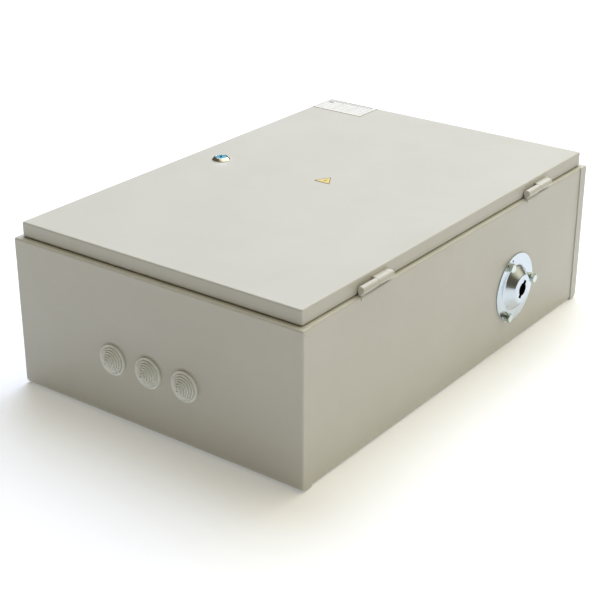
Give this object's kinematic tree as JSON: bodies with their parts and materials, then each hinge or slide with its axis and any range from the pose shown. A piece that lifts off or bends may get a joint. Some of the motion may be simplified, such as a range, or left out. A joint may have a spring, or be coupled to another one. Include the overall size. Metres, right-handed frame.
{
  "type": "automatic transfer switch",
  "caption": "Wall-mounted automatic transfer switch: sheet-steel enclosure with hinged locking door, rubber cable entries, side handle entry and a motor-driven changeover switch inside.",
  "frame": {"origin": "centre of the back, on the plane the enclosure rests on", "axes": "+Z out of the door, +Y up when it hangs on a wall (away from the cable entries), +X towards the hinges"},
  "size_m": [0.4101, 0.6135, 0.204],
  "materials": {
    "enclosure_paint": "fine-textured powder coat, light warm grey",
    "steel": "turned and ground steel",
    "grommet_rubber": "soft light grey rubber",
    "gasket_foam": "closed-cell black foam",
    "zinc_plate": "bright zinc plate with a faint bluish cast",
    "galvanised": "galvanised sheet with spangle",
    "lock_chrome": "polished chrome",
    "lock_face": "polished face with a light blue film",
    "sign_yellow": "printed vinyl sticker, yellow with a dark border",
    "label_silver": "silver polyester label with ruled fields, no lettering",
    "moulded_black": "black moulded phenolic",
    "chute_grey": "dark grey moulding",
    "barrier_red": "red-brown insulating board",
    "copper": "tinned-edge copper, lightly oxidised",
    "brass_fittings": "machined brass",
    "motor_black": "black painted gearmotor",
    "device_grey": "light grey moulded plastic",
    "controller_black": "dark grey moulded plastic",
    "toggle_blue": "dark blue moulded plastic",
    "display_glass": "tinted display window",
    "knob_black": "black moulded knob",
    "button_green": "green moulded button",
    "terminal_beige": "beige-grey polyamide",
    "duct_grey": "grey PVC duct",
    "wire_insulation": "PVC insulation"
  },
  "bodies": {
    "enclosure": {"arc_chutes": "chute_grey", "bearing_cheeks": "galvanised", "body_wrap": "enclosure_paint", "breaker_one_housing": "device_grey", "breaker_two_housing": "device_grey", "control_wires": "wire_insulation", "controller_housing": "controller_black", "controller_window": "display_glass", "din_rails": "galvanised", "drive_motor": "motor_black", "duct_covers": "duct_grey", "earth_bar": "brass_fittings", "earth_stud": "zinc_plate", "end_cap_bottom": "enclosure_paint", "end_cap_top": "enclosure_paint", "grommet_left": "grommet_rubber", "grommet_middle": "grommet_rubber", "grommet_right": "grommet_rubber", "hinge_body_knuckles": "enclosure_paint", "hinge_pins": "steel", "load_contacts": "copper", "motor_bracket": "galvanised", "mounting_plate": "galvanised", "operator_bolts": "zinc_plate", "operator_flange": "zinc_plate", "operator_nuts": "zinc_plate", "operator_washers": "zinc_plate", "phase_barriers": "barrier_red", "phase_relays": "device_grey", "plate_nuts": "zinc_plate", "plate_studs": "zinc_plate", "rail_stops": "terminal_beige", "shaft_bushings": "brass_fittings", "source_one_contacts": "copper", "source_two_contacts": "copper", "switch_base": "moulded_black", "terminal_blocks": "terminal_beige", "terminal_bolts": "zinc_plate", "wire_ducts": "duct_grey"},
    "door": {"door_panel": "enclosure_paint", "door_gasket": "gasket_foam", "hinge_door_knuckles": "enclosure_paint", "lock_housing": "lock_chrome", "lock_nut": "lock_chrome", "warning_sign": "sign_yellow", "rating_plate": "label_silver", "door_earth_stud": "zinc_plate"},
    "lock": {"lock_core": "lock_face", "lock_cam": "zinc_plate", "cam_screw": "zinc_plate"},
    "switch_rotor": {"switch_shaft": "steel", "blade_hubs": "moulded_black", "moving_blades": "copper", "drive_gear": "steel", "handle_socket": "steel"},
    "pinion": {"motor_pinion": "steel"},
    "toggle_one": {"breaker_one_toggle": "toggle_blue"},
    "toggle_two": {"breaker_two_toggle": "toggle_blue"},
    "selector": {"selector_knob": "knob_black"},
    "test_button": {"test_button": "button_green"}
  },
  "joints": [
    {"name": "door_hinge", "type": "hinge", "parent": "enclosure", "child": "door", "pos_m": [0.1982, 0, 0.1886], "axis": [0, 1, 0], "range_deg": [0, 120]},
    {"name": "lock_turn", "type": "hinge", "parent": "door", "child": "lock", "pos_m": [-0.15, 0, 0.19], "axis": [0, 0, 1], "range_deg": [0, 90]},
    {"name": "switch_turn", "type": "hinge", "parent": "enclosure", "child": "switch_rotor", "pos_m": [0.05, 0.128, 0.075], "axis": [1, 0, 0], "range_deg": [-50, 50]},
    {"name": "pinion_turn", "type": "hinge", "parent": "enclosure", "child": "pinion", "pos_m": [-0.07, 0.092, 0.075], "axis": [1, 0, 0], "range_deg": [-150, 150]},
    {"name": "toggle_one_turn", "type": "hinge", "parent": "enclosure", "child": "toggle_one", "pos_m": [-0.114, -0.045, 0.078], "axis": [1, 0, 0], "range_deg": [-80, 0]},
    {"name": "toggle_two_turn", "type": "hinge", "parent": "enclosure", "child": "toggle_two", "pos_m": [-0.076, -0.045, 0.078], "axis": [1, 0, 0], "range_deg": [-80, 0]},
    {"name": "selector_turn", "type": "hinge", "parent": "enclosure", "child": "selector", "pos_m": [0.112, -0.053, 0.09], "axis": [0, 0, 1], "range_deg": [-60, 60]},
    {"name": "test_press", "type": "slide", "parent": "enclosure", "child": "test_button", "axis": [0, 0, 1], "range_m": [-0.0015, 0], "stiffness_N_per_m": 400}
  ],
  "couplings": [
    {"joint": "pinion_turn", "follows": "switch_turn", "ratio": -3}
  ]
}
